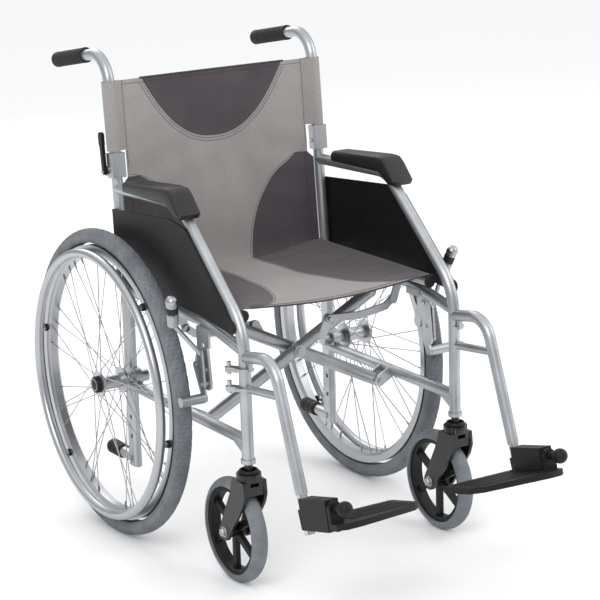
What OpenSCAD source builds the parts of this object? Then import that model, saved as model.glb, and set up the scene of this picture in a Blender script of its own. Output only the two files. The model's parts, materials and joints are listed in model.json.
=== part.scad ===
/* [Frame] */
// Half the distance between the two side frames' tube planes
frame_x = 232; // [215:1:245]
// Outside radius of the frame tubes
tube_r = 11; // [9:0.5:12]
// Wall of every metal tube
tube_wall = 1.5; // [1:0.1:2.5]
// Distance from the rear axle forward to the front posts
wheelbase = 431; // [400:1:460]
// Height of the arm tube where it leaves the rear post
arm_z = 680; // [660:1:700]
// Rise of the arm tube towards its front bend
arm_rise = 8; // [0:1:14]
// Distance forward of the axle at which the arm tube bends down
arm_bend_y = 216; // [190:1:230]
// Height at which the sloping arm tube would meet the front post's axis
arm_foot_z = 495; // [480:1:520]
// Height of the upper side rail
upper_rail_z = 481; // [470:1:490]
// Height of the lower side rail
lower_rail_z = 286; // [275:1:300]
// Lean of the back posts from upright
back_lean = 4.5; // [0:0.5:10]
// Distance of the back post behind the axle at the upper rail's height
back_y = 18; // [10:1:30]

/* [Back] */
// Height of the half-fold hinge
hinge_z = 719; // [705:1:735]
// Height at which the push handle's two straight legs would meet
handle_z = 944; // [900:1:990]
// Bend radius of the push handle
handle_bend_r = 55; // [45:1:60]
// Fall of the push handle towards its end
handle_fall = 10; // [0:1:20]
// Length of the push grip
grip_l = 131; // [110:1:140]
// Outside radius of the push grip
grip_r = 15.5; // [14.5:0.5:18]
// Height of the back sling's top edge
back_top_z = 888; // [840:1:890]

/* [Seat and arms] */
// Distance of each seat rail inside the side frame's tubes
rail_in = 25; // [23:1:32]
// Height of the seat rails
rail_z = 506; // [504:1:515]
// Length of the seat, from its front hem to the back posts
seat_l = 388; // [350:1:390]
// Sag of the seat sling at its middle
seat_sag = 13; // [4:1:20]
// Thickness of the sling cloth's solid
sling_t = 3.5; // [2:0.5:4]
// Width of an arm pad
pad_w = 49; // [40:1:52]
// Thickness of an arm pad above the arm tube's axis
pad_t = 27; // [22:1:32]
// Thickness of a skirt guard
guard_t = 4; // [2:0.5:5]

/* [Cross brace] */
// Radius of the cross brace tubes
brace_r = 12.5; // [10:0.5:13]
// Distance of the cross forward of the axle
brace_y = 219; // [200:1:235]
// Height of the cross's centre bolt
cross_z = 372; // [360:1:380]
// Distance of the cross's lower hinges inside the side frame's tubes
hinge_in = 32; // [28:1:42]
// Height of the lower hinges
brace_hinge_z = 270; // [262:1:276]
// Angle that each brace turns as the chair folds flat
fold_deg = 48; // [30:1:50]

/* [Rear wheels] */
// Radius of the rear wheel over its tyre
wheel_r = 305; // [295:1:310]
// Distance of the wheel's mid-plane outside the side frame's tubes
wheel_out = 54; // [51:1:60]
// Width of the rear tyre
tyre_w = 34; // [30:1:35]
// How far the handrim's centre line lies inside the tyre's outside
handrim_drop = 45; // [39:1:50]
// Distance of the handrim outside the wheel's mid-plane
handrim_x = 31; // [29:1:36]
// Radius of the handrim's tube
handrim_tube_r = 9; // [7:0.5:10]
// Number of spokes on each side of a hub
spokes_per_side = 18; // [12:2:18]
// Radius of the rear axle
axle_r = 6.35; // [5:0.05:7]

/* [Casters] */
// Radius of the caster wheel
caster_r = 100; // [90:1:100]
// Width of the caster tyre
caster_w = 32; // [28:1:34]
// Distance of the caster's axle behind its stem
trail = 55; // [48:1:60]
// Height of the top face of the fork's cap
fork_top_z = 226; // [222:1:230]

/* [Leg rests] */
// Height at which the leg rest's tube leaves the front post
hanger_z = 447; // [442:1:452]
// Distance forward of the axle of the leg rest's bend
hanger_bend_y = 531; // [515:1:545]
// Slope of the leg rest's lower leg from upright
hanger_slope = 20; // [14:1:24]
// Height of the lower end of the leg rest's tube
hanger_end_z = 236; // [215:1:240]
// Height at which the extension tube's axis passes the footplate's pivot block
foot_z = 205; // [190:1:208]
// Upward tilt of the toes of the footplate
foot_tilt = 14; // [8:1:18]
// Width of a footplate, outer edge to inner edge
plate_w = 159; // [140:1:165]
// Depth of a footplate at its inner edge
plate_d = 104; // [90:1:115]
// Radius of the knob at the front of the footplate's pin
knob_r = 14; // [11:0.5:15]

/* [Hidden] */
$fn = 48;
running = 0.06;    // radial clearance of a pin in its bore
weld_gap = 0.1;    // gap between two pieces that are welded or bolted together
seat_gap = 0.4;    // gap between two pieces that only rest together
moving_gap = 0.5;  // gap between the flat faces of two moving pieces
cradle_gap = 0.4;  // gap between a seat rail and the cradle that it rests in
seam = 0.25;       // a bend's wall is this much thicker each way than the straights that run into it
seam_l = 0.6;      // length of straight inside the end of a bend, so that the two are one solid
eye = 0.3;         // a flat bar's round ends are this much larger in radius than half its width

// The foot of the leg rest's extension tube, where the pivot block clamps it
foot_y = hanger_bend_y + (hanger_corner_z() - foot_z) * tan(hanger_slope);
block_l = 92;
block_w = 28;
block_h = 56;
knuckle_t = 10;
pin_up = 12;
pin_r = 7;
knob_s = block_l + knuckle_t + pin_r + knob_r + 10;
front_reach = foot_y + knob_s * cos(foot_tilt) - pin_up * sin(foot_tilt) + knob_r;
axle_y = (front_reach - wheel_r) / 2;

// Places that follow from the sizes above; the upper rail bends down at knee_y
post_y = -wheelbase;
knee_y = post_y + 131;
rail_x = frame_x - rail_in;
hinge_x = frame_x - hinge_in;
wheel_x = frame_x + wheel_out;
handrim_r = wheel_r - handrim_drop;

// The half-fold hinge lies on the leaning axis of the back post
lean_base_z = 480;
pivot_y = lean_y(hinge_z);
handle_end = lean_y(handle_z) + 212;
post_bar_w = 34;
post_bar_t = 16;
post_bar_y = 16;
post_foot_z = 118;
axle_boss_r = 20;
axle_nut_r = 12;

// Side view of the bent side tube: arm, slope and front post
arm_corner = [-arm_bend_y, arm_z + arm_rise];
arm_foot = [post_y, arm_foot_z];
stem_cup_z = 244;
arm_path = [[lean_y(arm_z), arm_z], arm_corner, arm_foot, [post_y, stem_cup_z + 4]];
upper_path = [[lean_y(upper_rail_z), upper_rail_z], [knee_y, upper_rail_z], [post_y, upper_rail_z - 26]];

// Leg rest hinge: two studs beside the front post
stud_x = frame_x + 20;
stud_y = post_y + 22;
stud_r = 4;
lug_t = 4;
lug_z = [380, 416];

// The cross brace: half length, angle, and the two brace planes
arm_l = norm([hinge_x, cross_z - brace_hinge_z]);
arm_a = atan2(cross_z - brace_hinge_z, hinge_x);
brace_off = brace_r + moving_gap;
bolt_r = 5;
bush_l = 24;
bush_r = 11;

// Stay link: its far end meets the frame's lug at both ends of the fold
link_x = 68;
link_up = 54;
lug_x = frame_x - 17;
link_r = norm([link_x, link_up]);
link_a = atan2(link_up, link_x);
fold_a = arm_a + fold_deg;
fold_in = hinge_x - arm_l * cos(fold_a);
open_pin = [link_x, cross_z + link_up];
shut_pin = [link_r * cos(link_a + fold_deg),
            brace_hinge_z + arm_l * sin(fold_a) + link_r * sin(link_a + fold_deg)];
open_dx = lug_x - open_pin[0];
shut_dx = lug_x - fold_in - shut_pin[0];
link_lug_z = (shut_dx * shut_dx - open_dx * open_dx + shut_pin[1] * shut_pin[1] - open_pin[1] * open_pin[1])
             / (2 * (shut_pin[1] - open_pin[1]));
link_t = 5;
echo(stay_link_turn = atan2(link_lug_z - shut_pin[1], shut_dx) - atan2(link_lug_z - open_pin[1], open_dx));

// Brake
lever_pin = [-323, 372];
shoe_pin = [-290, 400];
shoe_at = [-318, 344];
brake_pin_r = 4;
shoe_r = 9.5;
brake_x = frame_x + tube_r + 2.5;
plate_t = 5;
arm_x = brake_x + plate_t + moving_gap;
lever_x = arm_x + plate_t + moving_gap;

function lean_y(z) = back_y + (z - lean_base_z) * tan(back_lean);
function hanger_corner_z() = hanger_z + (hanger_bend_y - wheelbase - tube_r) * 0.163;
function unit(v) = v / norm(v);
function turn(a, b, c) = acos(unit(b - a) * unit(c - b));
function reach(a, b, c, bend) = bend * tan(turn(a, b, c) / 2);
function left_of(v) = [-v[1], v[0]];
function crosses(u, v) = u[0] * v[1] - u[1] * v[0];

// Everything is drawn for the left side, +X, about the rear axle, then mirrored for the right
module on_side(side) {
    translate([0, axle_y, 0])
        mirror([side < 0 ? 1 : 0, 0, 0])
            children();
}

module ring2d(r, wall) {
    difference() {
        circle(r);
        if (wall > 0) circle(r - wall);
    }
}

// A straight tube between two points of the side view, [y, z]
module leg(a, b, r, wall) {
    translate([0, a[0], a[1]])
        rotate([-atan2(b[0] - a[0], b[1] - a[1]), 0, 0])
            linear_extrude(norm(b - a)) ring2d(r, wall);
}

// The bend at corner b of the path a, b, c
module bend(a, b, c, bend_r, r, wall) {
    u = unit(b - a);
    v = unit(c - b);
    if (crosses(u, v) < 0) {
        bend(c, b, a, bend_r, r, wall);
    } else {
        start = b - u * reach(a, b, c, bend_r);
        middle = start + left_of(u) * bend_r;
        out = -left_of(u);
        translate([0, middle[0], middle[1]])
            rotate([90, 0, 90])
                rotate([0, 0, atan2(out[1], out[0])])
                    rotate_extrude(angle = turn(a, b, c)) translate([bend_r, 0]) ring2d(r, wall);
    }
}

// A tube bent along a path in the side view, with one bend radius per inner corner
module bent_tube(path, bends, r, wall) {
    last = len(path) - 1;
    for (i = [0:last - 1]) {
        u = unit(path[i + 1] - path[i]);
        from = i == 0 ? 0 : reach(path[i - 1], path[i], path[i + 1], bends[i - 1]) - seam_l;
        to = i == last - 1 ? 0 : reach(path[i], path[i + 1], path[i + 2], bends[i]) - seam_l;
        leg(path[i] + u * from, path[i + 1] - u * to, r, wall);
    }
    for (i = [1:last - 1])
        bend(path[i - 1], path[i], path[i + 1], bends[i - 1], r + seam, wall > 0 ? wall + 2 * seam : 0);
}

// A flat bar through points of a plane, with round eyes a little wider than the bar
module stroke(points, w) {
    for (p = points) translate(p) circle(w / 2 + eye);
    for (i = [0:len(points) - 2]) {
        d = points[i + 1] - points[i];
        translate(points[i]) rotate(atan2(d[1], d[0])) translate([0, -w / 2]) square([norm(d), w]);
    }
}

// Stands a side view drawing, [y, z], up at x and gives it a thickness outwards
module side_plate(x, t) {
    translate([x, 0, 0]) rotate([90, 0, 90]) linear_extrude(t) children();
}

// Stands a front view drawing, [x, z], up at y and gives it a thickness forwards
module front_plate(y, t) {
    translate([0, y, 0]) rotate([90, 0, 0]) linear_extrude(t) children();
}

// A rod across the chair at a point of the side view
module cross_rod(x0, x1, at, r) {
    translate([x0, at[0], at[1]]) rotate([0, 90, 0]) cylinder(h = x1 - x0, r = r);
}

// A rod between two points in space
module rod(a, b, r) {
    d = b - a;
    translate(a) rotate([0, acos(d[2] / norm(d)), atan2(d[1], d[0])]) cylinder(h = norm(d), r = r);
}

// A disc about the wheel's axis, from a section drawn as [radius, x]
module wheel_turned(y, z) {
    translate([0, y, z]) rotate([0, 90, 0]) rotate_extrude() children();
}

// The leaning frame of the back post, with its origin on the half-fold hinge
module at_hinge() {
    translate([frame_x, pivot_y, hinge_z]) rotate([-back_lean, 0, 0]) children();
}

// The tilted frame of the footplate: forwards is -y, up is z
module at_foot() {
    translate([frame_x, -foot_y, foot_z]) rotate([-foot_tilt, 0, 0]) children();
}

module front_post_core(gap) {
    translate([frame_x, 0, 0]) bent_tube(arm_path, [70, 110], tube_r + gap, 0);
}

module rear_post_core(gap) {
    at_hinge() translate([0, 0, -hinge_z + lean_base_z - 20])
        cylinder(h = hinge_z - lean_base_z + 5, r = tube_r + gap);
    translate([frame_x, post_bar_y, post_foot_z]) linear_extrude(lean_base_z + 12 - post_foot_z)
        stroke([[0, -post_bar_w / 2 + post_bar_t / 2], [0, post_bar_w / 2 - post_bar_t / 2]],
               post_bar_t + 2 * gap);
    cross_rod(frame_x - post_bar_t / 2 - gap, frame_x + post_bar_t / 2 + gap, [0, wheel_r], axle_boss_r + gap);
    cross_rod(frame_x - 30, frame_x + 30, [0, wheel_r], axle_nut_r + moving_gap);
}

// ---- the side frame ----

module side_tube(side) {
    color("silver") on_side(side) {
        difference() {
            union() {
                translate([frame_x, 0, 0]) bent_tube(arm_path, [70, 110], tube_r, tube_wall);
                translate([frame_x, post_y, stem_cup_z]) cylinder(h = 8, r = tube_r + 2.5);
            }
            rear_post_core(weld_gap);
            translate([frame_x, post_y, stem_cup_z - 1]) cylinder(h = 14, r = stem_r + running);
        }
        for (z = lug_z) {
            difference() {
                translate([0, 0, z]) linear_extrude(lug_t)
                    stroke([[frame_x + 9, post_y + 10], [stud_x, stud_y]], 14);
                translate([frame_x, post_y, z - 1]) cylinder(h = lug_t + 2, r = tube_r - tube_wall / 2);
            }
            translate([stud_x, stud_y, z - 4]) cylinder(h = 23, r = stud_r);
        }
    }
}

// The upper and lower side rails, with the seat rail cradles, the stay link's lug and the brace's hinge ears
module side_rails(side) {
    brace_at = -brace_y + side * brace_off;
    color("silver") on_side(side) {
        difference() {
            union() {
                translate([frame_x, 0, 0]) bent_tube(upper_path, [250], tube_r, tube_wall);
                for (y = [knee_y + 3, -70]) difference() {
                    translate([rail_x - 9, y, upper_rail_z + 3])
                        cube([frame_x - rail_x + 9, 22, rail_z - upper_rail_z - 11]);
                    translate([frame_x, y - 1, upper_rail_z]) rotate([-90, 0, 0])
                        cylinder(h = 24, r = tube_r - tube_wall / 2);
                    translate([rail_x, y - 1, rail_z]) rotate([-90, 0, 0]) cylinder(h = 24, r = tube_r + cradle_gap);
                }
                difference() {
                    front_plate(link_plane(-side) - side * (link_t / 2 + seat_gap) + (side > 0 ? 0 : 5), 5)
                        stroke([[lug_x, link_lug_z], [frame_x - 5, upper_rail_z - 5]], 16);
                    translate([frame_x, -brace_y - 60, upper_rail_z]) rotate([-90, 0, 0])
                        cylinder(h = 120, r = tube_r - tube_wall / 2);
                }
            }
            front_post_core(weld_gap);
            rear_post_core(weld_gap);
        }
        difference() {
            union() {
                translate([frame_x, 0, 0]) leg([post_bar_y, lower_rail_z], [post_y, lower_rail_z], tube_r, tube_wall);
                for (d = [-1, 1]) difference() {
                    front_plate(brace_at + d * (bush_l / 2 + 2.8) + 2.5, 5)
                        stroke([[hinge_x, brace_hinge_z], [frame_x - 8, lower_rail_z - 3]], 2 * bush_r);
                    translate([frame_x, brace_at - 30, lower_rail_z]) rotate([-90, 0, 0])
                        cylinder(h = 60, r = tube_r - tube_wall / 2);
                }
                translate([hinge_x, brace_at - bush_l / 2 - 9, brace_hinge_z]) rotate([-90, 0, 0])
                    cylinder(h = bush_l + 18, r = bolt_r);
                side_plate(frame_x - 3, 6)
                    polygon([[post_y, lower_rail_z - 34], [post_y, lower_rail_z - 4], [post_y + 52, lower_rail_z - 8]]);
            }
            front_post_core(weld_gap);
            rear_post_core(weld_gap);
        }
    }
}

// The back post with the flat bar that holds the axle, and the tipping lever's tube
module rear_post(side) {
    tip_z = 133;
    color("silver") on_side(side) difference() {
        union() {
            at_hinge() translate([0, 0, lean_base_z - hinge_z - 12])
                cylinder(h = hinge_z - lean_base_z - 3, r = tube_r);
            translate([frame_x, post_bar_y, post_foot_z]) linear_extrude(lean_base_z + 12 - post_foot_z)
                stroke([[0, -post_bar_w / 2 + post_bar_t / 2], [0, post_bar_w / 2 - post_bar_t / 2]], post_bar_t);
            cross_rod(frame_x - post_bar_t / 2, frame_x + post_bar_t / 2, [0, wheel_r], axle_boss_r);
            translate([frame_x, post_bar_y, tip_z]) rotate([-90, 0, 0]) cylinder(h = 100, r = tube_r);
        }
        at_hinge() translate([0, 0, lean_base_z - hinge_z + 14])
            cylinder(h = hinge_z - lean_base_z, r = tube_r - tube_wall);
        cross_rod(frame_x - 30, frame_x + 30, [0, wheel_r], axle_r + running);
        for (z = [181, 221]) cross_rod(frame_x - 30, frame_x + 30, [post_bar_y - 4, z], 4.5);
        translate([frame_x, post_bar_y + 30, tip_z]) rotate([-90, 0, 0]) cylinder(h = 100, r = tube_r - tube_wall);
    }
}

module skirt_guard(side) {
    front = [[-257, 651], [-388, 533], [-412, 506]];
    color("#1a1a1c") on_side(side)
        side_plate(frame_x + tube_r + seam + seat_gap, guard_t)
            union() {
                polygon([[pivot_y - 4, arm_z - 39], [-200, arm_z - 20], for (p = front) p, [-424, 496],
                         [-414, 484], [-300, upper_rail_z + 16], [back_y + 8, upper_rail_z + 16]]);
                translate([-412, 496]) circle(12);
            }
}

module arm_pad(side) {
    top = arm_z + pad_t + 1;
    color("#202022") on_side(side) difference() {
        side_plate(frame_x + 5.5 - pad_w / 2, pad_w) union() {
            polygon([[-36, arm_z + 6], [-36, top - 6], [-42, top], [-200, top + 13], [-222, top + 12],
                     [-236, top + 2], [-266, arm_z - 2], [-260, arm_z - 11], [-244, arm_z - 12], [-205, arm_z + 9]]);
        }
        translate([frame_x, 0, 0]) bent_tube(arm_path, [70, 110], tube_r + weld_gap, 0);
    }
}

// ---- the folding back ----

module back_tube(side) {
    path = [[pivot_y, hinge_z], [lean_y(handle_z), handle_z],
            [handle_end, handle_z - (handle_end - lean_y(handle_z)) * tan(handle_fall)]];
    color("silver") on_side(side) difference() {
        union() {
            translate([frame_x, 0, 0]) bent_tube([path[0], path[1], path[2]], [handle_bend_r], tube_r, tube_wall);
            at_hinge() {
                cylinder(h = 24, r = tube_r - tube_wall / 2);
                intersection() {
                    translate([0, 0, -tube_r]) cylinder(h = tube_r + 5, r = tube_r);
                    union() {
                        translate([-20, 0, 0]) rotate([0, 90, 0]) cylinder(h = 40, r = tube_r);
                        translate([-20, -20, 0]) cube([40, 40, 10]);
                    }
                }
            }
        }
        cross_rod(frame_x - 30, frame_x + 30, [pivot_y, hinge_z], 4 + running);
    }
}

module push_grip(side) {
    color("#141416") on_side(side)
        translate([frame_x, handle_end, handle_z - (handle_end - lean_y(handle_z)) * tan(handle_fall)])
            rotate([-90 - handle_fall, 0, 0]) difference() {
                union() {
                    translate([0, 0, 5 - grip_l]) cylinder(h = grip_l - 3, r = grip_r);
                    translate([0, 0, 2]) cylinder(h = 3, r1 = grip_r, r2 = grip_r - 3);
                }
                translate([0, 0, -grip_l]) cylinder(h = grip_l + weld_gap, r = tube_r + running / 2);
            }
}

// A channel on the back post, open to the rear, with the hinge pin and the release lever's pin
module fold_bracket(side) {
    inner = tube_r + seat_gap;
    outer = inner + 3;
    color("#8b8f94") on_side(side) at_hinge() {
        difference() {
            translate([-outer, -outer, -18]) cube([2 * outer, outer + 9, 49]);
            translate([-inner, -inner, -19]) cube([2 * inner, 60, 51]);
        }
        translate([outer - 3, -2, -15]) cube([3, 25, 20]);
        translate([-outer - 2, 0, 0]) rotate([0, 90, 0]) cylinder(h = 2 * outer + 4, r = 4);
        translate([outer - 1, 14, -6]) rotate([0, 90, 0]) cylinder(h = 11, r = 4);
    }
}

module fold_lever(side) {
    color("#161618") on_side(side) at_hinge() difference() {
        translate([tube_r + seat_gap + 3 + moving_gap, 0, 0]) rotate([90, 0, 90]) linear_extrude(7) {
            stroke([[14, -6], [16, 62]], 11);
            stroke([[16, 50], [16, 64]], 15);
        }
        translate([0, 14, -6]) rotate([0, 90, 0]) cylinder(h = 60, r = 4 + running);
    }
}

// ---- the cross brace: the brace with its foot on the right is the front one ----

// Plane of the stay link that the brace with its foot on this side carries
function link_plane(foot) = -brace_y + foot * (brace_off + brace_r + moving_gap + link_t / 2);

// One brace, drawn with its foot on the right and its seat rail on the left
module brace(at, front) {
    knee_t = arm_l + 195;
    knee = [-hinge_x + knee_t * cos(arm_a), brace_hinge_z + knee_t * sin(arm_a)];
    foot = [-hinge_x, at, brace_hinge_z];
    difference() {
        union() {
            rod(foot, [knee[0], at, knee[1]], brace_r);
            translate([knee[0], at, knee[1]]) sphere(brace_r + 0.7);
            rod([knee[0], at, knee[1]], [rail_x, at, rail_z], brace_r - 1.5);
            translate([-hinge_x, at - bush_l / 2, brace_hinge_z]) rotate([-90, 0, 0]) cylinder(h = bush_l, r = bush_r);
            translate([rail_x, -seat_l, rail_z]) rotate([-90, 0, 0]) cylinder(h = seat_l + 6, r = tube_r);
            front_plate(at + (front ? -brace_r + 5 : brace_r), 5)
                stroke([[link_x, cross_z + link_up], [link_x - 14, cross_z + 24]], 18);
            translate([link_x, at + (front ? -brace_r - link_t - 5 : brace_r - 3), cross_z + link_up])
                rotate([-90, 0, 0]) cylinder(h = link_t + 8, r = brake_pin_r);
            if (!front) translate([0, at, cross_z]) rotate([90, 0, 0]) cylinder(h = 2 * brace_r, r = 9, center = true);
            if (front) translate([0, at, cross_z]) {
                rotate([90, 0, 0]) cylinder(h = brace_r + 6, r = bolt_r + 3);
                rotate([90, 0, 0]) cylinder(h = brace_r + 3, r = brace_r);
                rotate([-90, 0, 0]) cylinder(h = 2 * brace_off + brace_r + 2, r = bolt_r);
                translate([0, 2 * brace_off + brace_r + moving_gap, 0]) rotate([-90, 0, 0])
                    cylinder(h = 5, r = bolt_r + 4);
            }
        }
        rod([foot[0], at, foot[2]] + 24 * [cos(arm_a), 0, sin(arm_a)],
            [foot[0], at, foot[2]] + (arm_l - 14) * [cos(arm_a), 0, sin(arm_a)], brace_r - 2);
        rod([foot[0], at, foot[2]] + (arm_l + 14) * [cos(arm_a), 0, sin(arm_a)],
            [knee[0], at, knee[1]], brace_r - 2);
        translate([rail_x, -seat_l - 1, rail_z]) rotate([-90, 0, 0]) cylinder(h = seat_l + 20, r = tube_r - tube_wall);
        translate([-hinge_x, at - 30, brace_hinge_z]) rotate([-90, 0, 0]) cylinder(h = 60, r = bolt_r + running);
        // the other side's hinge ears and their rail swing past the foot
        translate([-hinge_x, at + bush_l / 2, brace_hinge_z]) rotate([-90, 0, 0]) cylinder(h = 20, r = 18);
        translate([-hinge_x, at - bush_l / 2 - 20, brace_hinge_z]) rotate([-90, 0, 0]) cylinder(h = 20, r = 18);
        if (!front) translate([0, at - 60, cross_z]) rotate([-90, 0, 0]) cylinder(h = 120, r = bolt_r + running);
    }
}

module cross_brace(side) {
    color("#b9bcc0") translate([0, axle_y, 0]) {
        if (side > 0) brace(-brace_y - brace_off, true);
        else mirror([1, 0, 0]) brace(-brace_y + brace_off, false);
    }
}

// The stay link carried by the brace whose seat rail is on this side
module stay_link(side) {
    at = link_plane(-side);
    color("#a4a8ad") translate([0, axle_y, 0]) mirror([side < 0 ? 1 : 0, 0, 0]) difference() {
        front_plate(at + link_t / 2, link_t)
            stroke([open_pin, [link_x + 70, cross_z + 50], [link_x + 112, cross_z + 55],
                    [lug_x - 16, link_lug_z - 12], [lug_x, link_lug_z]], 15);
        translate([link_x, at - 10, cross_z + link_up]) rotate([-90, 0, 0]) cylinder(h = 20, r = brake_pin_r + running);
        translate([lug_x, at - 10, link_lug_z]) rotate([-90, 0, 0]) cylinder(h = 20, r = brake_pin_r + 1);
    }
}

// ---- the slings ----

module seat_sling(side) {
    top = rail_z + tube_r + seat_gap;
    color("#a39c98") translate([0, axle_y, 0]) mirror([side < 0 ? 1 : 0, 0, 0])
        front_plate(0, seat_l - 1)
            polygon([[0.2, top - seat_sag], [rail_x - 8, top], [rail_x + tube_r, top], [rail_x + tube_r, top + sling_t],
                     [rail_x - 8, top + sling_t], [0.2, top - seat_sag + sling_t]]);
}

module back_panel(z0, z1, w) {
    translate([0, pivot_y, hinge_z]) rotate([-back_lean, 0, 0])
        translate([0.2, -sling_t / 2, z0]) cube([w, sling_t, z1 - z0]);
}

module back_sling_lower(side) {
    color("#8d8784") on_side(side) back_panel((rail_z + 6 - hinge_z) / cos(back_lean), -0.2, frame_x - tube_r - 6);
}

module back_sling_upper(side) {
    color("#8d8784") on_side(side) back_panel(0.2, (back_top_z - hinge_z) / cos(back_lean), frame_x - tube_r - 6);
}

// ---- the brake ----

module brake_bracket(side) {
    color("#c9ccd0") on_side(side) {
        difference() {
            union() {
                translate([frame_x - 12, -334, upper_rail_z - 19]) cube([brake_x - frame_x + 12, 44, 14]);
                side_plate(brake_x, plate_t) difference() {
                    union() {
                        translate([-334, upper_rail_z - 40]) square([44, 35]);
                        stroke([[-312, upper_rail_z - 20], lever_pin], 26);
                        stroke([[-305, upper_rail_z - 30], shoe_pin], 22);
                    }
                    translate([-312, 442]) circle(6);
                    translate([-322, 398]) circle(4);
                }
            }
            translate([frame_x, 0, 0]) bent_tube(upper_path, [250], tube_r + weld_gap, 0);
        }
        cross_rod(brake_x + 1, lever_x + plate_t + 3, lever_pin, brake_pin_r);
        cross_rod(brake_x + 1, arm_x + plate_t + 2, shoe_pin, brake_pin_r);
    }
}

module brake_lever(side) {
    elbow = [lever_x + 2.5, -318, 429];
    grip_low = [frame_x + 70, -298, 488];
    grip_top = [frame_x + 81, -316, 536];
    color("#26272a") on_side(side) {
        difference() {
            side_plate(lever_x, plate_t) stroke([lever_pin, [elbow[1], elbow[2]]], 15);
            cross_rod(lever_x - 10, lever_x + 20, lever_pin, brake_pin_r + running);
        }
        rod(elbow, grip_low, 4.5);
        rod(grip_low, grip_top, 11);
        translate(grip_top) sphere(11.8);
    }
}

module brake_shoe(side) {
    color("#c9ccd0") on_side(side) {
        difference() {
            side_plate(arm_x, plate_t) stroke([shoe_pin, shoe_at], 16);
            cross_rod(arm_x - 10, arm_x + 20, shoe_pin, brake_pin_r + running);
        }
        cross_rod(arm_x + plate_t - 1, wheel_x + 19, shoe_at, shoe_r);
    }
}

// ---- the casters ----

stem_r = 8;
caster_axle_r = 6;
caster_at = [post_y + trail, caster_r];

module caster_fork(side) {
    blade_x = caster_w / 2 + 3;
    blade_t = 6;
    crown_z = caster_r * 2 - 14;
    color("#1b1c1e") on_side(side) {
        for (x = [frame_x - blade_x - blade_t, frame_x + blade_x]) side_plate(x, blade_t) {
            polygon([[post_y - 20, 214], [post_y + 20, 214], [post_y + 27, crown_z + 2],
                     [caster_at[0] + 16, caster_r + 6], [caster_at[0] - 15, caster_r - 8],
                     [post_y - 16, 168], [post_y - 23, crown_z + 2]]);
            translate(caster_at) circle(17);
        }
        difference() {
            union() {
                translate([frame_x - blade_x - 1, post_y - 20, crown_z]) cube([2 * blade_x + 2, 40, 28]);
                translate([frame_x, post_y, 213]) cylinder(h = fork_top_z - 213, r = 23);
                translate([frame_x, post_y, fork_top_z - 4]) cylinder(h = 60, r = stem_r);
            }
            cross_rod(frame_x - 40, frame_x + 40, caster_at, caster_r + 3);
            translate([frame_x - 9, post_y - 40, 203]) cube([18, 80, 7]);
        }
        cross_rod(frame_x - blade_x - blade_t - 3, frame_x + blade_x + blade_t + 3, caster_at, caster_axle_r);
    }
}

module caster_hub(side) {
    color("#1b1c1e") on_side(side) difference() {
        union() {
            wheel_turned(caster_at[0], caster_at[1]) translate([caster_r - 26, frame_x - 11]) square([9.8, 22]);
            cross_rod(frame_x - caster_w / 2 - 2, frame_x + caster_w / 2 + 2, caster_at, 13);
            for (a = [0:60:300]) translate([frame_x - 5, caster_at[0], caster_at[1]]) rotate([a, 0, 0])
                translate([0, -6, 10]) cube([10, 12, caster_r - 34]);
        }
        cross_rod(frame_x - 30, frame_x + 30, caster_at, caster_axle_r + running);
    }
}

module caster_tyre(side) {
    color("#70757a") on_side(side)
        wheel_turned(caster_at[0], caster_at[1]) difference() {
            translate([caster_r - caster_w / 2, frame_x]) circle(caster_w / 2);
            translate([0, frame_x - 30]) square([caster_r - caster_w / 2, 60]);
        }
}

// ---- the rear wheels ----

rim_out_r = wheel_r - tyre_w + 2;
rim_in_r = rim_out_r - 20;
flange_r = 26;
flange_in = wheel_x - 24;
flange_out = wheel_x + 26;
spoke_r = 1;

module wheel_tyre(side) {
    color("#70757a") on_side(side) wheel_turned(0, wheel_r) difference() {
        translate([wheel_r - tyre_w / 2, wheel_x]) circle(tyre_w / 2);
        translate([0, wheel_x - 30]) square([rim_out_r + weld_gap, 60]);
    }
}

module wheel_rim(side) {
    color("silver") on_side(side) wheel_turned(0, wheel_r) difference() {
        translate([0, wheel_x]) polygon([[rim_in_r, -8], [rim_in_r + 6, -13], [rim_out_r, -13], [rim_out_r, 13],
                                         [rim_in_r + 6, 13], [rim_in_r, 8]]);
        translate([0, wheel_x]) polygon([[rim_in_r + 2, -7], [rim_in_r + 7, -11], [rim_out_r - 3, -11],
                                         [rim_out_r - 3, 11], [rim_in_r + 7, 11], [rim_in_r + 2, 7]]);
    }
}

module handrim(side) {
    color("silver") on_side(side) {
        wheel_turned(0, wheel_r) translate([handrim_r, wheel_x + handrim_x]) circle(handrim_tube_r);
        for (a = [17:60:317])
            cross_rod(wheel_x + 13 + weld_gap, wheel_x + handrim_x - 4,
                      [handrim_r * sin(a), wheel_r + handrim_r * cos(a)], 5.5);
    }
}

module wheel_hub(side) {
    color("silver") on_side(side) difference() {
        union() {
            cross_rod(flange_in - 6, flange_out + 5, [0, wheel_r], 14);
            cross_rod(flange_in - 2, flange_in + 2, [0, wheel_r], flange_r);
            cross_rod(flange_out - 2, flange_out + 2, [0, wheel_r], flange_r);
        }
        cross_rod(flange_in - 20, flange_out + 20, [0, wheel_r], axle_r + running);
    }
}

// Tangential spokes: half of each side's lean one way and half the other
module wheel_spokes(side) {
    step = 360 / spokes_per_side;
    start_r = flange_r + 1.3;
    end_r = rim_in_r - 0.5;
    color("#d5d8da") on_side(side)
        for (face = [0, 1]) for (i = [0:spokes_per_side - 1]) {
            a = i * step + face * step / 2;
            b = a + (i % 2 == 0 ? 34 : -34);
            apart = i % 2 == 0 ? spoke_r + 0.2 : -spoke_r - 0.2;
            rod([(face == 0 ? flange_in : flange_out) + apart, start_r * sin(a), wheel_r + start_r * cos(a)],
                [wheel_x + (face == 0 ? -5 : 5) + apart, end_r * sin(b), wheel_r + end_r * cos(b)], spoke_r);
        }
}

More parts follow.
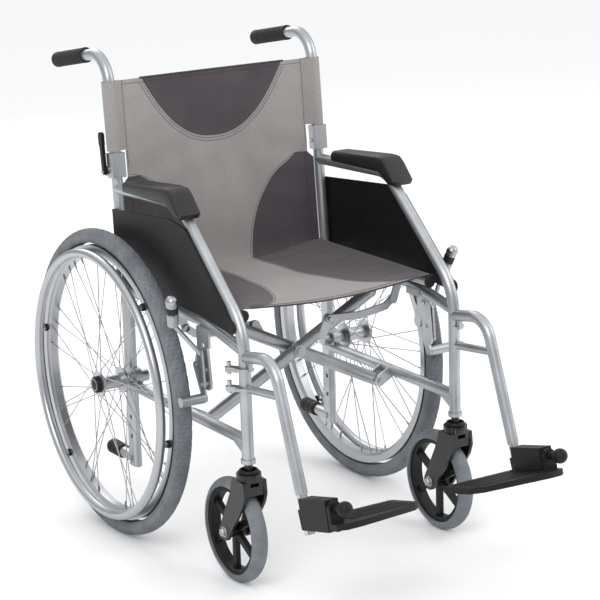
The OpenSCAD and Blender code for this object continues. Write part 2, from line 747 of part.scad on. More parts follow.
module rear_axle(side) {
    color("#3a3c3f") on_side(side) {
        cross_rod(frame_x - 22, flange_out + 9, [0, wheel_r], axle_r);
        cross_rod(frame_x - 26, frame_x - post_bar_t / 2 - eye - weld_gap, [0, wheel_r], axle_nut_r);
        cross_rod(frame_x + post_bar_t / 2 + eye + weld_gap, flange_in - 6 - moving_gap, [0, wheel_r], axle_nut_r - 1);
        cross_rod(flange_out + 5 + moving_gap, flange_out + 11, [0, wheel_r], 12);
    }
}

// ---- the leg rests ----

hanger_corner = [-hanger_bend_y, hanger_corner_z()];
hanger_way = [-sin(hanger_slope), -cos(hanger_slope)];
hanger_end = hanger_corner + hanger_way * (hanger_corner_z() - hanger_end_z) / cos(hanger_slope);
slide_r = tube_r - tube_wall;

// A hinge plate that wraps the front post's outer and front sides
module hinge_plate(z) {
    translate([0, 0, z + lug_t + seat_gap]) linear_extrude(5) difference() {
        union() {
            translate([frame_x, post_y]) intersection() {
                circle(19);
                polygon([[0, 0], for (a = [-125:25:50]) 40 * [cos(a), sin(a)]]);
            }
            stroke([[frame_x + 13, post_y + 12], [stud_x, stud_y]], 15);
        }
        translate([frame_x, post_y]) circle(tube_r + 0.8);
        translate([stud_x, stud_y]) circle(stud_r + running);
    }
}

module leg_rest_tube(side) {
    strut_z = lug_z[0] + lug_t + seat_gap + 2.5;
    color("silver") on_side(side) {
        difference() {
            union() {
                translate([frame_x, 0, 0])
                    bent_tube([[post_y - 5, hanger_z - 2], hanger_corner, hanger_end], [50], tube_r, tube_wall);
                translate([frame_x - 4, post_y - 22, lug_z[1] + lug_t + seat_gap]) cube([8, 8, hanger_z - lug_z[1] - 12]);
                difference() {
                    rod([frame_x, post_y - 14, strut_z], [frame_x, -hanger_bend_y - 22, strut_z + 12], 7.5);
                    translate([frame_x, 0, 0])
                        leg(hanger_corner + hanger_way * 30, hanger_end, tube_r - tube_wall / 2, 0);
                }
            }
            translate([frame_x, post_y, 300]) cylinder(h = 200, r = tube_r + 0.8);
        }
        for (z = lug_z) hinge_plate(z);
    }
}

module extension_tube(side) {
    color("#e3e5e8") on_side(side) translate([frame_x, 0, 0])
        leg(hanger_end - hanger_way * 125, [-foot_y, foot_z] + hanger_way * 38, slide_r - running, tube_wall);
}

// The block that clamps the extension tube and holds the footplate's pin and knob
module pivot_block(side) {
    color("#1d1e20") on_side(side) difference() {
        union() {
            at_foot() {
                translate([-block_w / 2, -block_l, -block_h / 2]) cube([block_w, block_l - 4, block_h]);
                translate([0, -block_l + 30, pin_up]) rotate([90, 0, 0]) cylinder(h = knob_s - block_l + 30, r = pin_r);
                translate([0, -knob_s, pin_up]) sphere(knob_r);
            }
            intersection() {
                translate([frame_x, 0, 0]) leg([-foot_y, foot_z] - hanger_way * 8, [-foot_y, foot_z] + hanger_way * 30, 13, 0);
                at_foot() translate([-20, -20, -block_h / 2]) cube([40, 40, block_h]);
            }
        }
        translate([frame_x, 0, 0])
            leg([-foot_y, foot_z] - hanger_way * 60, [-foot_y, foot_z] + hanger_way * 60, slide_r - running / 2, 0);
    }
}

module footplate(side) {
    plate_top = -13;
    plate_t2 = 11;
    outer = -block_w / 2 - 4;
    inner = outer - plate_w;
    front = block_l + 38;
    color("#1f2022") on_side(side) at_foot() difference() {
        union() {
            translate([0, 0, plate_top - plate_t2]) mirror([0, 1, 0]) linear_extrude(plate_t2) union() {
                polygon([[outer, 2], [inner + 6, 2], [inner, 8], [inner, plate_d - 16], [inner + 20, plate_d + 2],
                         [outer - 12, front], [-2, front], [13, front - 12], [13, block_l + moving_gap],
                         [outer, block_l + moving_gap]]);
            }
            for (i = [0:4]) translate([inner + 14, -24 - i * 18, plate_top - 1]) cube([plate_w - 26, 5, 2]);
            translate([0, -block_l - moving_gap, 0]) rotate([90, 0, 0]) linear_extrude(knuckle_t) {
                stroke([[0, pin_up], [0, plate_top - 2]], 26);
                translate([-13, plate_top - plate_t2]) square([26, 14]);
            }
        }
        translate([0, 0, pin_up]) rotate([90, 0, 0]) cylinder(h = 400, r = pin_r + running);
    }
}

side_tube(-1);  // side_tube_right
side_tube(1);  // side_tube_left
side_rails(-1);  // side_rails_right
side_rails(1);  // side_rails_left
rear_post(-1);  // rear_post_right
rear_post(1);  // rear_post_left
skirt_guard(-1);  // skirt_guard_right
skirt_guard(1);  // skirt_guard_left
arm_pad(-1);  // arm_pad_right
arm_pad(1);  // arm_pad_left
back_tube(-1);  // back_tube_right
back_tube(1);  // back_tube_left
push_grip(-1);  // push_grip_right
push_grip(1);  // push_grip_left
fold_bracket(-1);  // fold_bracket_right
fold_bracket(1);  // fold_bracket_left
fold_lever(-1);  // fold_lever_right
fold_lever(1);  // fold_lever_left
cross_brace(-1);  // cross_brace_right
cross_brace(1);  // cross_brace_left
stay_link(-1);  // stay_link_right
stay_link(1);  // stay_link_left
seat_sling(-1);  // seat_sling_right
seat_sling(1);  // seat_sling_left
back_sling_lower(-1);  // back_sling_lower_right
back_sling_lower(1);  // back_sling_lower_left
back_sling_upper(-1);  // back_sling_upper_right
back_sling_upper(1);  // back_sling_upper_left
brake_bracket(-1);  // brake_bracket_right
brake_bracket(1);  // brake_bracket_left
brake_lever(-1);  // brake_lever_right
brake_lever(1);  // brake_lever_left
brake_shoe(-1);  // brake_shoe_right
brake_shoe(1);  // brake_shoe_left
caster_fork(-1);  // caster_fork_right
caster_fork(1);  // caster_fork_left
caster_hub(-1);  // caster_hub_right
caster_hub(1);  // caster_hub_left
caster_tyre(-1);  // caster_tyre_right
caster_tyre(1);  // caster_tyre_left
wheel_tyre(-1);  // wheel_tyre_right
wheel_tyre(1);  // wheel_tyre_left
wheel_rim(-1);  // wheel_rim_right
wheel_rim(1);  // wheel_rim_left
handrim(-1);  // handrim_right
handrim(1);  // handrim_left
wheel_hub(-1);  // wheel_hub_right
wheel_hub(1);  // wheel_hub_left
wheel_spokes(-1);  // wheel_spokes_right
wheel_spokes(1);  // wheel_spokes_left
rear_axle(-1);  // rear_axle_right
rear_axle(1);  // rear_axle_left
leg_rest_tube(-1);  // leg_rest_tube_right
leg_rest_tube(1);  // leg_rest_tube_left
extension_tube(-1);  // extension_tube_right
extension_tube(1);  // extension_tube_left
pivot_block(-1);  // pivot_block_right
pivot_block(1);  // pivot_block_left
footplate(-1);  // footplate_right
footplate(1);  // footplate_left
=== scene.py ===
# %% [markdown]
# # A folding wheelchair, in cells
# The frame, wheels and brakes come from an exact CAD model that is already packed. This script
# loads it, gives every piece a finish, and adds what a CAD model leaves out: woven slings, moulded
# arm pads, ribbed grips, tyre treads, spoke nipples and bolt heads. All lengths are in metres.
# +X is the sitter's left, the chair faces -Y, and the floor is at z = 0.

# %% Load the frame
import json
import math

import bmesh
import bpy
from mathutils import Matrix, Vector

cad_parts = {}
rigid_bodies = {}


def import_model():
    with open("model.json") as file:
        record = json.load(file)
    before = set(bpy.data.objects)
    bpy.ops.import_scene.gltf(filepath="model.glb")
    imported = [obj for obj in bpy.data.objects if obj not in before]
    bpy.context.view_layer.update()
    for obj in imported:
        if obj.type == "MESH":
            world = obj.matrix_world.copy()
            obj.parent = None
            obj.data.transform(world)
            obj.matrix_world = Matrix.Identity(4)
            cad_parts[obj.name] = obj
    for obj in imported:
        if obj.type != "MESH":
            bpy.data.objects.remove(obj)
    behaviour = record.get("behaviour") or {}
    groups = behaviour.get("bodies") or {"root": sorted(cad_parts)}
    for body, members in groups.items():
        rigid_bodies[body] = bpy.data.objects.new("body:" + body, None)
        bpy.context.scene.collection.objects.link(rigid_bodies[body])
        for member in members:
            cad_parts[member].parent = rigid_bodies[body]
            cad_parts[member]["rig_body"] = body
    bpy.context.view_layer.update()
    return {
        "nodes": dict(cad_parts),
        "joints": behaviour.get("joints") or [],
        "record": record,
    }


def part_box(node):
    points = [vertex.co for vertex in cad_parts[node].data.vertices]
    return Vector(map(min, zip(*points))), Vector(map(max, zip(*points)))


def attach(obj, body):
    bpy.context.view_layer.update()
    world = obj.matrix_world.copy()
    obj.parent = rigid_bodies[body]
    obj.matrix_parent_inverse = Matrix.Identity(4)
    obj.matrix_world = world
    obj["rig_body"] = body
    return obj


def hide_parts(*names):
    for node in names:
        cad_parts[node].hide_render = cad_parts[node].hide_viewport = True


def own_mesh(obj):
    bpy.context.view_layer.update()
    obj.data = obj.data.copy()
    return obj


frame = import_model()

SIDES = {"right": -1, "left": 1}
BRACE = {"right": "brace_rear", "left": "brace_front"}
MM = 0.001

# %% [markdown]
# ## Where things are
# Every place is read from the CAD nodes' boxes, so a change of size in the CAD model carries over
# to the slings, pads and treads. Joints give the points that the moving pieces turn about.

# %% Read the main places from the CAD
JOINTS = {j["name"]: j for j in frame["joints"]}


def middle(node):
    low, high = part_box(node)
    return (low + high) / 2


def span(node):
    low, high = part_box(node)
    return high - low


axle = middle("wheel_hub_left")
wheel_r = span("wheel_tyre_left").z / 2
wheel_x = middle("wheel_tyre_left").x
tyre_w = span("wheel_tyre_left").x
rim_r = span("wheel_rim_left").z / 2
HANDRIM_TUBE = 0.009
handrim_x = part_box("handrim_left")[1].x - HANDRIM_TUBE
handrim_r = span("handrim_left").z / 2 - HANDRIM_TUBE
frame_x = middle("rear_post_left").x
hinge = Vector(JOINTS["back_fold_left"]["pos_m"])
lean = math.radians(4.5)
print("axle at", tuple(round(v, 3) for v in axle), "frame tubes at x", round(frame_x, 3))

# %% [markdown]
# ## The camera
# A long lens stands well back, level with a sitter's chest, in front of the chair on its right.
# It is set first, so that everything after can be judged from it.

# %% Place the camera
CAMERA_AT = Vector((-2.10046, -3.41730, 1.51313))
CAMERA_LOOKS_AT = Vector((0.183966, 0.302237, 0.419301))
CAMERA_ROLL = math.radians(-1.805)

camera_data = bpy.data.cameras.new("camera")
camera_data.sensor_width = 36
camera_data.lens = 129.36
camera_data.shift_x = 0.01216
camera_data.shift_y = -0.03113
camera_data.clip_end = 60
camera = bpy.data.objects.new("camera", camera_data)
bpy.context.scene.collection.objects.link(camera)
aim = (CAMERA_LOOKS_AT - CAMERA_AT).to_track_quat("-Z", "Y").to_matrix().to_4x4()
camera.matrix_world = Matrix.Translation(CAMERA_AT) @ aim @ Matrix.Rotation(CAMERA_ROLL, 4, "Z")
bpy.context.scene.camera = camera
print("camera", round((CAMERA_LOOKS_AT - CAMERA_AT).length, 2), "m from the chair")

# %% [markdown]
# ## Floor and light
# The chair stands on a plain white sweep in even studio light: one big soft light high on
# the left, a second one on the right to open the shadows, and a pale sky all round.

# %% Floor, backdrop and lights
floor_mesh = bpy.data.meshes.new("studio_floor")
bm = bmesh.new()
bmesh.ops.create_grid(bm, x_segments=1, y_segments=1, size=40)
bm.to_mesh(floor_mesh)
bm.free()
floor = bpy.data.objects.new("studio_floor", floor_mesh)
bpy.context.scene.collection.objects.link(floor)

paper = bpy.data.materials.new("white_backdrop_paper")
paper.use_nodes = True
paper.node_tree.nodes["Principled BSDF"].inputs["Base Color"].default_value = (0.93, 0.93, 0.93, 1)
paper.node_tree.nodes["Principled BSDF"].inputs["Roughness"].default_value = 0.9
paper.node_tree.nodes["Principled BSDF"].inputs["Specular IOR Level"].default_value = 0.1
floor.data.materials.append(paper)

# the sky is bright overhead and dimmer near the horizon, which draws darker edges along the tubes
world = bpy.data.worlds.new("studio")
bpy.context.scene.world = world
world.use_nodes = True
sky = world.node_tree
direction = sky.nodes.new("ShaderNodeTexCoord")
height = sky.nodes.new("ShaderNodeSeparateXYZ")
fade = sky.nodes.new("ShaderNodeValToRGB")
sky.links.new(direction.outputs["Generated"], height.inputs["Vector"])
sky.links.new(height.outputs["Z"], fade.inputs["Fac"])
sky.links.new(fade.outputs["Color"], sky.nodes["Background"].inputs["Color"])
fade.color_ramp.elements[0].position, fade.color_ramp.elements[1].position = 0.0, 0.75
fade.color_ramp.elements[0].color = (0.30, 0.31, 0.33, 1)
fade.color_ramp.elements[1].color = (1.0, 1.0, 1.0, 1)
sky.nodes["Background"].inputs["Strength"].default_value = 1.15
bpy.context.scene.view_settings.view_transform = "Standard"


def soft_light(name, at, looks_at, size, watts):
    lamp = bpy.data.lights.new(name, "AREA")
    lamp.energy = watts
    lamp.size = size
    lamp_object = bpy.data.objects.new(name, lamp)
    bpy.context.scene.collection.objects.link(lamp_object)
    turn = (Vector(looks_at) - Vector(at)).to_track_quat("-Z", "Y").to_matrix().to_4x4()
    lamp_object.matrix_world = Matrix.Translation(at) @ turn


soft_light("key_light", (-2.6, -2.6, 3.2), (0, 0, 0.5), 2.4, 75)
soft_light("fill_light", (3.2, -1.6, 2.2), (0, 0, 0.4), 2.6, 40)
soft_light("back_light", (0.5, 3.4, 2.8), (0, 0, 0.6), 2.2, 45)
print("stage set")

# %% [markdown]
# ## Helpers for finishes
# A finish is a Principled shader with a few nodes in front of it. Colours are written as the hex
# values that a paint chart gives, and one function turns them to the linear values that the
# renderer counts in. One small function adds a node with its settings and links.

# %% Colour and node helpers
def linear(hex_colour):
    parts = [int(hex_colour[i:i + 2], 16) / 255 for i in (1, 3, 5)]
    return (*[c / 12.92 if c <= 0.04045 else ((c + 0.055) / 1.055) ** 2.4 for c in parts], 1)


def add_node(tree, kind, values=None, **settings):
    """Adds a node, sets its attributes, and fills or links its inputs."""
    made = tree.nodes.new(kind)
    for name, value in settings.items():
        setattr(made, name, value)
    for name, value in (values or {}).items():
        if isinstance(value, bpy.types.NodeSocket):
            tree.links.new(value, made.inputs[name])
        else:
            made.inputs[name].default_value = value
    return made


def new_finish(name, colour, roughness, metallic=0.0):
    finish = bpy.data.materials.new(name)
    finish.use_nodes = True
    tree = finish.node_tree
    shader = tree.nodes["Principled BSDF"]
    shader.inputs["Base Color"].default_value = linear(colour)
    shader.inputs["Roughness"].default_value = roughness
    shader.inputs["Metallic"].default_value = metallic
    place = add_node(tree, "ShaderNodeTexCoord").outputs["Object"]
    return finish, tree, shader, place


def stain(tree, shader, place, dark, light, per_metre, low=0.35, high=0.65):
    """A soft drift between two near colours, as handling and dust leave on a surface."""
    cloud = add_node(tree, "ShaderNodeTexNoise", {"Vector": place, "Scale": per_metre, "Detail": 4.0})
    ramp = add_node(tree, "ShaderNodeValToRGB", {"Fac": cloud.outputs["Fac"]})
    ramp.color_ramp.elements[0].position, ramp.color_ramp.elements[1].position = low, high
    ramp.color_ramp.elements[0].color, ramp.color_ramp.elements[1].color = linear(dark), linear(light)
    tree.links.new(ramp.outputs["Color"], shader.inputs["Base Color"])
    return ramp


def rough_and_bump(tree, shader, height, low, high, distance, strength):
    """The same height drives the gloss and the bump, so that the pits are duller."""
    gloss = add_node(tree, "ShaderNodeMapRange", {"Value": height, "To Min": low, "To Max": high})
    tree.links.new(gloss.outputs["Result"], shader.inputs["Roughness"])
    bump = add_node(tree, "ShaderNodeBump", {"Height": height, "Strength": strength, "Distance": distance})
    tree.links.new(bump.outputs["Normal"], shader.inputs["Normal"])


print("finish helpers ready")

# %% [markdown]
# ## Hard finishes
# Each is named for what it is and how its surface was made. Grain and orange peel are under a
# millimetre on the real parts; here they are drawn two or three times coarser so that they still
# show as a soft break in the reflections.

# %% Powder coat, plastics, rubber and metals
def silver_powder_coat():
    # baked polyester powder with aluminium flake: a soft, slightly bumpy metal sheen
    finish, tree, shader, place = new_finish("silver_powder_coat", "#B9BCBF", 0.32, 0.85)
    stain(tree, shader, place, "#A3A6A9", "#B7BABD", 14)
    peel = add_node(tree, "ShaderNodeTexNoise", {"Vector": place, "Scale": 420.0, "Detail": 2.0})
    rough_and_bump(tree, shader, peel.outputs["Fac"], 0.30, 0.42, 0.0002, 0.25)
    shader.inputs["Coat Weight"].default_value = 0.15
    shader.inputs["Coat Roughness"].default_value = 0.2
    return finish


def moulded_nylon(name="moulded_black_nylon", dark="#0C0C0E", light="#121214"):
    # glass-filled nylon out of a spark-eroded mould: near black with a fine even grain
    finish, tree, shader, place = new_finish(name, dark, 0.5)
    stain(tree, shader, place, dark, light, 30)
    shader.inputs["Specular IOR Level"].default_value = 0.3
    grain = add_node(tree, "ShaderNodeTexVoronoi", {"Vector": place, "Scale": 900.0})
    rough_and_bump(tree, shader, grain.outputs["Distance"], 0.42, 0.60, 0.0002, 0.3)
    return finish


def foam_skin():
    # self-skinning polyurethane foam: black, soft edged, with a leathery grain and a dull shine
    finish, tree, shader, place = new_finish("integral_skin_foam", "#1A1A1C", 0.45)
    stain(tree, shader, place, "#0E0E0F", "#161618", 18)
    cells = add_node(tree, "ShaderNodeTexVoronoi", {"Vector": place, "Scale": 460.0, "Randomness": 0.9})
    rough_and_bump(tree, shader, cells.outputs["Distance"], 0.38, 0.56, 0.0004, 0.35)
    return finish


def grip_rubber():
    finish, tree, shader, place = new_finish("ribbed_grip_rubber", "#161616", 0.6)
    stain(tree, shader, place, "#0C0C0C", "#141414", 40)
    grain = add_node(tree, "ShaderNodeTexNoise", {"Vector": place, "Scale": 700.0, "Detail": 3.0})
    rough_and_bump(tree, shader, grain.outputs["Fac"], 0.52, 0.7, 0.0002, 0.3)
    return finish


def black_enamel():
    # stoved black paint on pressed steel
    finish, tree, shader, place = new_finish("black_stoved_enamel", "#131416", 0.3)
    stain(tree, shader, place, "#0B0B0D", "#121315", 22)
    peel = add_node(tree, "ShaderNodeTexNoise", {"Vector": place, "Scale": 380.0, "Detail": 2.0})
    rough_and_bump(tree, shader, peel.outputs["Fac"], 0.24, 0.38, 0.0002, 0.25)
    return finish


def grey_tyre_rubber():
    # non-marking grey rubber with a dusty bloom
    finish, tree, shader, place = new_finish("grey_tyre_rubber", "#7B8085", 0.7)
    stain(tree, shader, place, "#63676C", "#757A7F", 25)
    grain = add_node(tree, "ShaderNodeTexNoise", {"Vector": place, "Scale": 500.0, "Detail": 5.0})
    rough_and_bump(tree, shader, grain.outputs["Fac"], 0.6, 0.8, 0.0003, 0.35)
    return finish


def bright_metal(name, colour, low, high, stretch=(1, 1, 1), scale=260.0, strength=0.15):
    """A bare metal with fine marks; stretch draws them out along one axis, as brushing does."""
    finish, tree, shader, place = new_finish(name, colour, low, 1.0)
    drawn = add_node(tree, "ShaderNodeMapping", {"Vector": place, "Scale": stretch})
    marks = add_node(tree, "ShaderNodeTexNoise",
                     {"Vector": drawn.outputs["Vector"], "Scale": scale, "Detail": 4.0})
    rough_and_bump(tree, shader, marks.outputs["Fac"], low, high, 0.0001, strength)
    return finish


FINISH = {
    "silver_paint": silver_powder_coat(),
    "black_plastic": moulded_nylon(),
    "arm_pad": foam_skin(),
    "grip_rubber": grip_rubber(),
    "fork_black": black_enamel(),
    "grey_tyre": grey_tyre_rubber(),
    "zinc_steel": bright_metal("zinc_plated_steel", "#A9ABAE", 0.28, 0.42),
    "rim_aluminium": bright_metal("anodised_aluminium", "#B4B6B9", 0.26, 0.38, (6, 1, 1)),
    "spoke_steel": bright_metal("stainless_spoke_wire", "#B0B2B4", 0.2, 0.3),
    "chrome_tube": bright_metal("chrome_plate", "#C0C2C4", 0.06, 0.12, strength=0.03),
}

print(len(FINISH), "hard finishes")

# %% [markdown]
# ## Woven cloth
# Both slings are heavy nylon cloth in two colours: a light warm grey body and aubergine-grey
# panels. The panels are sewn shapes, so the pattern follows the cloth: each sheet carries a UV map
# whose units are metres across and along the cloth, and a panel attribute that marks the dark
# shapes. Printed or painted shapes would be simpler, but they would not end at a sewn edge.

# %% Nylon cloth
def woven_nylon(name, light, dark, thread=0.0016):
    """Plain weave, drawn at 1.6 mm a thread where the real cloth has about 0.6 mm. The panel
    attribute is the distance to the sewn edge in metres, above zero inside a dark panel."""
    finish, tree, shader, _ = new_finish(name, light[0], 0.85)
    cloth = add_node(tree, "ShaderNodeUVMap", uv_map="cloth").outputs["UV"]
    cloud = add_node(tree, "ShaderNodeTexNoise", {"Vector": cloth, "Scale": 9.0, "Detail": 6.0})
    slub = add_node(tree, "ShaderNodeTexNoise", {"Vector": cloth, "Scale": 260.0, "Detail": 3.0})
    both = add_node(tree, "ShaderNodeMath", {0: cloud.outputs["Fac"], 1: slub.outputs["Fac"]}, operation="ADD")
    half = add_node(tree, "ShaderNodeMath", {0: both.outputs[0], 1: 0.5}, operation="MULTIPLY")
    panel = add_node(tree, "ShaderNodeAttribute", attribute_name="panel").outputs["Fac"]
    inside = add_node(tree, "ShaderNodeMapRange", {"Value": panel, "From Min": -0.0004, "From Max": 0.0004})
    shades = []
    for pair in (light, dark):
        ramp = add_node(tree, "ShaderNodeValToRGB", {"Fac": half.outputs[0]})
        ramp.color_ramp.elements[0].position, ramp.color_ramp.elements[1].position = 0.36, 0.64
        ramp.color_ramp.elements[0].color, ramp.color_ramp.elements[1].color = linear(pair[0]), linear(pair[1])
        shades.append(ramp.outputs["Color"])
    mix = add_node(tree, "ShaderNodeMix", data_type="RGBA")
    tree.links.new(inside.outputs["Result"], mix.inputs[0])
    tree.links.new(shades[0], mix.inputs[6])
    tree.links.new(shades[1], mix.inputs[7])
    tree.links.new(mix.outputs[2], shader.inputs["Base Color"])
    split = add_node(tree, "ShaderNodeSeparateXYZ", {"Vector": cloth})
    waves = []
    for axis in ("X", "Y"):
        turns = add_node(tree, "ShaderNodeMath", {0: split.outputs[axis], 1: 2 * math.pi / thread},
                         operation="MULTIPLY")
        waves.append(add_node(tree, "ShaderNodeMath", {0: turns.outputs[0]}, operation="SINE").outputs[0])
    weave = add_node(tree, "ShaderNodeMath", {0: waves[0], 1: waves[1]}, operation="MULTIPLY")
    height = add_node(tree, "ShaderNodeMath", {0: weave.outputs[0], 1: slub.outputs["Fac"]}, operation="ADD")
    bump = add_node(tree, "ShaderNodeBump", {"Height": height.outputs[0], "Strength": 0.35, "Distance": 0.0004})
    tree.links.new(bump.outputs["Normal"], shader.inputs["Normal"])
    shader.inputs["Sheen Weight"].default_value = 0.2
    shader.inputs["Sheen Roughness"].default_value = 0.5
    shader.inputs["Specular IOR Level"].default_value = 0.25
    return finish


LIGHT_CLOTH, DARK_CLOTH = ("#8C8887", "#9E9A98"), ("#433D41", "#524B50")
SLING_CLOTH = woven_nylon("woven_nylon_two_tone", LIGHT_CLOTH, DARK_CLOTH)
THREAD = new_finish("spun_polyester_thread", "#3A3438", 0.75)[0]
print("cloth finishes made")

# %% [markdown]
# ## Painting the CAD parts
# Tubes, rims, hubs and spokes keep their exact CAD shape. Each CAD part says in its record what it
# is made of, so one loop gives every part the finish of that name.

# %% Give each CAD node its finish
material_slot = {row["node"]: row["material_slot"] for row in frame["record"]["subparts"]}
for name, node in frame["nodes"].items():
    if material_slot[name] in FINISH:
        node.data.materials.clear()
        node.data.materials.append(FINISH[material_slot[name]])
print("CAD nodes painted")

# %% [markdown]
# ## Making a piece
# A piece is built in a bmesh, written to a mesh, given a finish, and set to ride on a CAD
# body. The object stays at the origin: its place is in its vertices.

# %% Piece helpers
def keep_piece(bm, name, body, slot_name, *finishes, smooth=True, replaces=()):
    bmesh.ops.remove_doubles(bm, verts=bm.verts, dist=0.00001)
    bmesh.ops.recalc_face_normals(bm, faces=bm.faces)
    mesh = bpy.data.meshes.new(name)
    bm.to_mesh(mesh)
    bm.free()
    for finish in finishes:
        mesh.materials.append(finish)
    piece = bpy.data.objects.new(name, mesh)
    bpy.context.scene.collection.objects.link(piece)
    if smooth:
        mesh.shade_smooth()
        mesh.set_sharp_from_angle(angle=math.radians(38))
    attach(piece, body)
    if replaces:
        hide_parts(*replaces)
    return piece


def turned(bm, profile, axis_point, axis, steps=48):
    """Spins a profile of (radius, distance along the axis) pairs once round an axis."""
    axis = Vector(axis).normalized()
    out = axis.orthogonal().normalized()
    points = [bm.verts.new(Vector(axis_point) + out * r + axis * d) for r, d in profile]
    edges = [bm.edges.new(pair) for pair in zip(points, points[1:])]
    return bmesh.ops.spin(bm, geom=points + edges, cent=axis_point, axis=axis, angle=2 * math.pi,
                          steps=steps, use_merge=True)


def closed_loop(profile):
    return profile + [profile[0]]


def bolt(bm, at, axis, radius, height, sides=6):
    """A hexagon head with a chamfer, or a round one when it has many sides."""
    axis = Vector(axis).normalized()
    turned(bm, [(0, 0), (radius, 0), (radius, height * 0.75), (radius * 0.86, height), (0, height)],
           at, axis, steps=sides)


def washer(bm, at, axis, radius, height):
    turned(bm, [(0, 0), (radius, 0), (radius, height * 0.6), (radius - height * 0.4, height), (0, height)],
           at, axis, steps=28)


def tube_along(bm, points, radius, sides=8):
    """Sweeps a round section along points with bmesh: each ring is a circle set across the path."""
    rings = []
    for i, point in enumerate(points):
        ahead = points[min(i + 1, len(points) - 1)] - points[max(i - 1, 0)]
        turn = ahead.to_track_quat("Z", "Y").to_matrix().to_4x4()
        made = bmesh.ops.create_circle(bm, cap_ends=i in (0, len(points) - 1), segments=sides, radius=radius,
                                       matrix=Matrix.Translation(point) @ turn)
        rings.append(made["verts"])
    for a, b in zip(rings, rings[1:]):
        edges = [e for e in {e for v in a for e in v.link_edges} if e.verts[0] in a and e.verts[1] in a]
        edges += [e for e in {e for v in b for e in v.link_edges} if e.verts[0] in b and e.verts[1] in b]
        bmesh.ops.bridge_loops(bm, edges=edges)


print("helpers ready")

# %% [markdown]
# ## Softening the CAD's edges
# Moulded and pressed parts have rounded edges that catch a thin line of light. The exact CAD parts
# have sharp ones, so a welded copy of each such part gets a small bevel and stands in for it.

# %% Bevelled copies of moulded and pressed parts
SOFT_EDGES = {"pivot_block": 3.0, "footplate": 1.4, "caster_fork": 1.2, "skirt_guard": 1.2,
              "fold_lever": 1.2, "fold_bracket": 0.6, "brake_bracket": 0.6, "stay_link": 0.6,
              "caster_hub": 0.8, "brake_shoe": 0.6}


def soften(node_name, width_mm):
    node = frame["nodes"][node_name]
    bm = bmesh.new()
    bm.from_mesh(node.data)
    bmesh.ops.remove_doubles(bm, verts=bm.verts, dist=0.00002)
    bmesh.ops.dissolve_limit(bm, angle_limit=math.radians(1.0), verts=bm.verts, edges=bm.edges)
    name = node_name + "_soft"
    mesh = bpy.data.meshes.new(name)
    bm.to_mesh(mesh)
    bm.free()
    mesh.materials.append(FINISH[material_slot[node_name]])
    piece = bpy.data.objects.new(name, mesh)
    bpy.context.scene.collection.objects.link(piece)
    edge = piece.modifiers.new("rounded_edges", "BEVEL")
    edge.width = width_mm * MM
    edge.segments = 2
    edge.limit_method = "ANGLE"
    edge.angle_limit = math.radians(42)
    edge.harden_normals = True
    mesh.shade_smooth()
    mesh.set_sharp_from_angle(angle=math.radians(42))
    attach(piece, node["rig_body"])
    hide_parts(node_name)
    return piece


for part, width_mm in SOFT_EDGES.items():
    for side in SIDES:
        soften(f"{part}_{side}", width_mm)
print("edges softened on", 2 * len(SOFT_EDGES), "parts")

# %% [markdown]
# ## Making a sheet of cloth
# A sheet starts as a line of points across the chair, which is its section. The line is extruded
# row by row, the rows are bent to the cloth's hollow and wrinkles, and a Solidify gives the wall.
# Two things are written to the sheet for its finish: a UV map in metres of cloth, and the panel
# attribute, which is the distance to the nearest sewn edge and so keeps that edge smooth.

# %% Sheet helpers
CLOTH_T = 0.0016
EDGE_REACH = 0.02      # the panel attribute counts no further than this from a sewn edge


def lengths_along(points):
    total, lengths = 0.0, [0.0]
    for a, b in zip(points, points[1:]):
        total += math.dist(a, b)
        lengths.append(total)
    return lengths


def edge_distance(shape, a, b, step=0.001):
    """Turns a shape that is above zero inside into a distance in metres, by its own slope."""
    value = shape(a, b)
    rise_a, rise_b = shape(a + step, b) - shape(a - step, b), shape(a, b + step) - shape(a, b - step)
    slope = math.hypot(rise_a, rise_b) / (2 * step)
    return max(-EDGE_REACH, min(EDGE_REACH, value / max(slope, 1e-6)))


def sheet_of(section, way, rows, shape_row, panel_of, flip):
    """Extrudes the section along a way, then lets shape_row bend each point."""
    lengths = lengths_along(section)
    bm = bmesh.new()
    uv = bm.loops.layers.uv.new("cloth")
    panel = bm.verts.layers.float.new("panel")
    column = bm.verts.layers.int.new("column")
    line = [bm.verts.new(point) for point in section]
    for i, v in enumerate(line):
        v[column] = i
    last = [bm.edges.new(pair) for pair in zip(line, line[1:])]
    for row in range(rows):
        made = bmesh.ops.extrude_edge_only(bm, edges=last)["geom"]
        moved = [g for g in made if isinstance(g, bmesh.types.BMVert)]
        fresh = set(moved)
        last = [g for g in made if isinstance(g, bmesh.types.BMEdge) and fresh.issuperset(g.verts)]
        bmesh.ops.translate(bm, verts=moved, vec=way / rows)
    start = section[0]
    for face in bm.faces:
        for loop in face.loops:
            along = (loop.vert.co - Vector(start)).dot(way.normalized())
            loop[uv].uv = (lengths[loop.vert[column]], along)
    for v in bm.verts:
        v[panel] = panel_of(v.co)
        shape_row(v)
    bm.normal_update()
    if flip(bm):
        bmesh.ops.reverse_faces(bm, faces=bm.faces)
    return bm, lengths[-1]


def keep_sheet(bm, name, body, replaces=()):
    mesh = bpy.data.meshes.new(name)
    bm.to_mesh(mesh)
    bm.free()
    mesh.materials.append(SLING_CLOTH)
    piece = bpy.data.objects.new(name, mesh)
    bpy.context.scene.collection.objects.link(piece)
    mesh.shade_smooth()
    wall = piece.modifiers.new("cloth_thickness", "SOLIDIFY")
    wall.thickness = CLOTH_T
    wall.offset = 1
    with bpy.context.temp_override(object=piece, active_object=piece, selected_objects=[piece]):
        bpy.ops.object.modifier_apply(modifier=wall.name)
    mesh.set_sharp_from_angle(angle=math.radians(50))
    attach(piece, body)
    if replaces:
        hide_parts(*replaces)
    return piece


